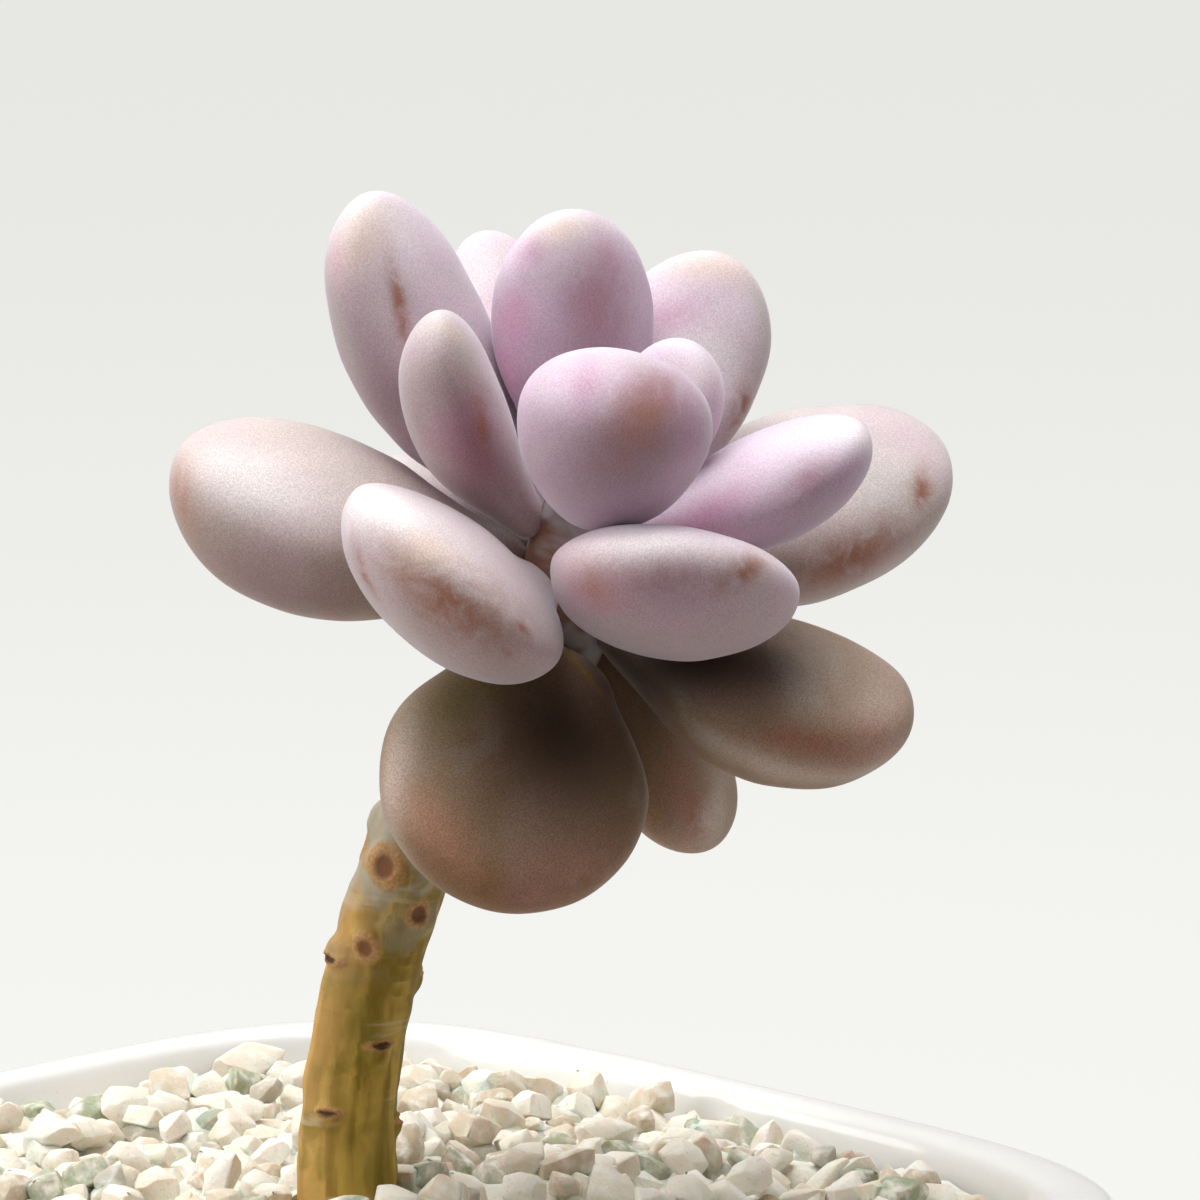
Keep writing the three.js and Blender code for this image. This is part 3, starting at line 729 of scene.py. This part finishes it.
def scar_shares(corners, places):
    """How far each vertex belongs to the raised rim, the sunken heart or the slit of a scar."""
    shares = {name: np.zeros(len(corners)) for name in SCAR_SWELLS}
    for place, out, scar in places:
        away = corners - np.array(place)
        depth = away @ np.array(out)
        up = away[:, 2]
        level = away - np.outer(depth, np.array(out))
        across = np.sqrt(np.maximum((level**2).sum(axis=1) - up**2, 0))
        near = np.abs(depth) < 3 * MM
        radius = scar["radius"] * MM
        if scar["slit"]:
            opening = "slit"
            core = np.hypot(across / 0.62, up / 0.17) / radius
            ring = core / 2
        else:
            opening = "heart"
            ring = np.hypot(across, up * 0.85) / radius
            core = ring / 0.42
        shares["rim"] = np.maximum(shares["rim"], near * band(ring, 0.45, 0.75, 0.2))
        shares[opening] = np.maximum(shares[opening], near * np.clip((1.1 - core) / 0.3, 0, 1))
    return shares


def paint_straight(stem, corners, line):
    """Keeps where each vertex would be if the stem were straight, so that streaks follow it."""
    middles = np.array(line)
    steps = np.linalg.norm(np.diff(middles, axis=0), axis=1)
    lengths = np.concatenate([[0], np.cumsum(steps)])
    nearest = np.argmin(
        np.linalg.norm(corners[:, None, :] - middles[None, :, :], axis=2), axis=1
    )
    straight = corners - middles[nearest]
    straight[:, 2] += lengths[nearest]
    layer = stem.data.attributes.new("straight", "FLOAT_VECTOR", "POINT")
    layer.data.foreach_set("vector", straight.ravel())


def paint_bark(stem, line):
    """Keeps where the bark is waxy, where it turns to crown tissue, and its tan left side."""
    corners = corners_of(stem)
    paint_straight(stem, corners, line)
    paint(stem, "tissue", rising(corners, CROWN_START + CROWN_RISE, 3 * MM))
    paint(stem, "wax", rising(corners, WAX_START, 10 * MM))
    leftward = corners @ -np.array(VIEW_RIGHT)
    middles = np.array([-point.dot(VIEW_RIGHT) for point in line])
    nearest = np.searchsorted([point.z for point in line], corners[:, 2]).clip(0, len(line) - 1)
    paint(stem, "tan", np.clip((leftward - middles[nearest]) / (4 * MM), 0, 1))


def grow_stem():
    """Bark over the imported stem, with a raised ring and a sunken heart or slit for each scar."""
    stem = copy_of("stem", "scarred_stem")
    bpy.context.view_layer.update()
    line = stem_line(stem)
    places = [(*scar_place(stem, line, scar), scar) for scar in SCARS]
    modify(stem, "REMESH", mode="VOXEL", voxel_size=BARK_VOXEL)
    modify(stem, "SMOOTH", factor=0.5, iterations=8)
    corners = corners_of(stem)
    scars = scar_shares(corners, places)
    swell(stem, "crown", rising(corners, CROWN_START, CROWN_RISE), CROWN_SWELL)
    for name, strength in SCAR_SWELLS.items():
        swell(stem, name, scars[name], strength)
    modify(stem, "SMOOTH", factor=0.5, iterations=2)
    modify(stem, "DISPLACE", texture=unevenness("bark_lumps", 4 * MM), texture_coords="GLOBAL",
           mid_level=0.5, strength=0.5 * MM)
    smooth(stem)
    for name, shares in scars.items():
        paint(stem, name, shares)
    paint_bark(stem, line)
    stem.data.materials.append(bark_finish())
    hand_over(stem, "bark", "stem")


# Gravel


def chipped_stone(draw, name):
    """An angular chip: a cube cut by planes at random, with its edges worn."""
    bpy.ops.mesh.primitive_cube_add(size=2)
    stone = bpy.context.object
    stone.name = name
    bpy.ops.object.mode_set(mode="EDIT")
    for _ in range(CUTS_PER_STONE):
        bpy.ops.mesh.select_all(action="SELECT")
        facing = Vector([draw.gauss(0, 1) for _ in range(3)]).normalized()
        bpy.ops.mesh.bisect(
            plane_co=facing * draw.uniform(0.72, 0.95),
            plane_no=facing,
            use_fill=True,
            clear_outer=True,
        )
    bpy.ops.mesh.select_all(action="SELECT")
    bpy.ops.mesh.remove_doubles(threshold=0.08)
    bpy.ops.mesh.bevel(offset=0.07, segments=1, affect="EDGES")
    bpy.ops.mesh.select_all(action="SELECT")
    bpy.ops.mesh.normals_make_consistent(inside=False)
    bpy.ops.object.mode_set(mode="OBJECT")
    return stone


def stone_places(draw):
    """Middles and half sizes of the stones: a full layer over the bed and a loose one on top."""
    _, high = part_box("gravel")
    half = high.x - BED_MARGIN
    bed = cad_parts["gravel"]
    reach = int(half / STONE_SPACING) + 2
    places = []
    for layer, share in enumerate(STONE_LAYERS):
        for row in range(-reach, reach + 1):
            for column in range(-reach, reach + 1):
                x = (column + row % 2 / 2 + draw.uniform(-0.3, 0.3)) * STONE_SPACING
                y = (row * 0.87 + draw.uniform(-0.3, 0.3)) * STONE_SPACING
                size = draw.uniform(1.3, 2.5) * MM
                keep = draw.random() < share
                corner = (abs(x) / half) ** BED_SQUARENESS + (abs(y) / half) ** BED_SQUARENESS
                inside = corner < 1
                clear = (Vector((x, y, 0)) - STEM_FOOT).length > STEM_CLEARANCE + size * 0.6
                if not (keep and inside and clear):
                    continue
                hit, top, _, _ = bed.ray_cast(Vector((x, y, high.z + 0.01)), Vector((0, 0, -1)))
                if hit:
                    lift = (0.15 + 0.9 * layer) * size
                    places.append((Vector((x, y, top.z + lift)), size))
    return places


def lay_stone(draw, patterns, place, size):
    """One stone of the bed: a pattern turned, stretched and toned at random."""
    stone = bpy.data.objects.new("stone", draw.choice(patterns).data.copy())
    bpy.context.scene.collection.objects.link(stone)
    turn = Matrix.Rotation(draw.uniform(0, 2 * math.pi), 4, "Z")
    turn = turn @ Matrix.Rotation(draw.uniform(-0.6, 0.6), 4, "X")
    turn = turn @ Matrix.Rotation(draw.uniform(-0.6, 0.6), 4, "Y")
    shape = (size * draw.uniform(0.9, 1.25), size * draw.uniform(0.75, 1.0), size * 0.72)
    stone.data.transform(Matrix.Translation(place) @ turn @ Matrix.Diagonal((*shape, 1)))
    paint(stone, "tone", np.full(len(stone.data.vertices), draw.random()))
    return stone


def lay_gravel():
    """Loose stones over the packed gravel, joined into one piece."""
    draw = random.Random(RANDOM_SEED)
    patterns = [chipped_stone(draw, f"stone_pattern_{i}") for i in range(STONE_PATTERNS)]
    bpy.context.view_layer.update()
    stones = [lay_stone(draw, patterns, place, size) for place, size in stone_places(draw)]
    for pattern in patterns:
        bpy.data.objects.remove(pattern)
    bpy.ops.object.select_all(action="DESELECT")
    for stone in stones:
        stone.select_set(True)
    heap = stones[0]
    bpy.context.view_layer.objects.active = heap
    bpy.ops.object.join()
    heap.name = "loose_stones"
    smooth(heap, 35)
    heap.data.materials.clear()
    heap.data.materials.append(stone_finish("crushed_stone"))
    hand_over(heap, "gravel")


# Pot


def glaze_pot():
    """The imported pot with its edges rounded, under glaze."""
    pot = copy_of("pot", "glazed_pot")
    modify(pot, "SUBSURF", levels=2, render_levels=2)
    smooth(pot)
    pot.data.materials.append(glaze_finish())
    hand_over(pot, "glaze", "pot")


def dress_solid(node, material):
    """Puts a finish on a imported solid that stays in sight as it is."""
    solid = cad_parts[node]
    solid.data.materials.clear()
    solid.data.materials.append(material)


# Stage


def build_stage():
    """A pale floor, lit evenly so that it fades out behind the plant."""
    bpy.ops.mesh.primitive_plane_add(size=12)
    floor = bpy.context.object
    floor.name = "floor"
    paper = Finish("pale_floor", Base_Color=(0.14, 0.14, 0.135), Specular_IOR_Level=0.0)
    paper.surface(Roughness=1.0, Emission_Color=(0.97, 0.97, 0.94), Emission_Strength=0.77)
    floor.data.materials.append(paper.material)
    floor.visible_diffuse = False


def from_rosette(steps):
    """Direction or step given as (right, up, towards the camera)."""
    return VIEW_RIGHT * steps[0] + VIEW_UP * steps[1] + TO_CAMERA * steps[2]


def light_room():
    """A pale room with broad glows from its sides and its floor, seen as an even backdrop."""
    world = bpy.data.worlds.new("room")
    bpy.context.scene.world = world
    world.use_nodes = True
    tree = world.node_tree
    direction = tree.nodes.new("ShaderNodeTexCoord").outputs["Generated"]

    def step(operation, first, second):
        made = tree.nodes.new("ShaderNodeMath")
        made.operation = operation
        for socket, value in zip(made.inputs, (first, second)):
            if isinstance(value, bpy.types.NodeSocket):
                tree.links.new(value, socket)
            else:
                socket.default_value = value
        return made.outputs[0]

    glow = 0.0
    for row in ROOM_GLOWS:
        facing = tree.nodes.new("ShaderNodeVectorMath")
        facing.operation = "DOT_PRODUCT"
        facing.inputs[1].default_value = from_rosette(row["side"])
        tree.links.new(direction, facing.inputs[0])
        share = step("POWER", step("MAXIMUM", facing.outputs["Value"], 0.0), row["narrowness"])
        glow = step("ADD", glow, step("MULTIPLY", share, row["strength"]))
    lit = tree.nodes["Background"]
    lit.inputs["Color"].default_value = (*ROOM_LIGHT, 1)
    tree.links.new(glow, lit.inputs["Strength"])
    seen = tree.nodes.new("ShaderNodeBackground")
    seen.inputs["Color"].default_value = (*BACKDROP, 1)
    sight = tree.nodes.new("ShaderNodeLightPath").outputs["Is Camera Ray"]
    mix = tree.nodes.new("ShaderNodeMixShader")
    tree.links.new(sight, mix.inputs[0])
    tree.links.new(lit.outputs[0], mix.inputs[1])
    tree.links.new(seen.outputs[0], mix.inputs[2])
    tree.links.new(mix.outputs[0], tree.nodes["World Output"].inputs["Surface"])


def add_softbox(name, place, size, power):
    lamp = bpy.data.lights.new(name, "AREA")
    lamp.size = size
    lamp.energy = power
    softbox = bpy.data.objects.new(name, lamp)
    bpy.context.scene.collection.objects.link(softbox)
    step = from_rosette(place)
    softbox.location = VIEW_TARGET + step
    softbox.rotation_euler = (-step).to_track_quat("-Z", "Y").to_euler()


def place_camera():
    camera = bpy.data.cameras.new("photo_view")
    camera.angle = 2 * math.atan(VIEW_WIDTH / 2 / VIEW_DISTANCE)
    camera.clip_start = 0.01
    camera.clip_end = 50
    holder = bpy.data.objects.new("photo_view", camera)
    bpy.context.scene.collection.objects.link(holder)
    holder.location = CAMERA_PLACE
    holder.rotation_euler = TO_CAMERA.to_track_quat("Z", "Y").to_euler()
    bpy.context.scene.camera = holder


bpy.context.scene.view_settings.view_transform = "Standard"
place_camera()
build_stage()
light_room()
for lamp_row in LAMPS:
    add_softbox(**lamp_row)

skins = {
    "young_leaf": leaf_finish("powdery_leaf_skin", 0.5),
    "old_leaf": leaf_finish("worn_leaf_skin", 0.15),
}
leaf_lumps = unevenness("leaf_lumps", 9 * MM)
for leaf_name, leaf_age in LEAF_AGE.items():
    grow_leaf(leaf_name, leaf_age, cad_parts["stem"], leaf_lumps, skins)
grow_stem()
lay_gravel()
dress_solid("gravel", stone_finish("stone_in_shade"))
dress_solid("soil", soil_finish())
glaze_pot()
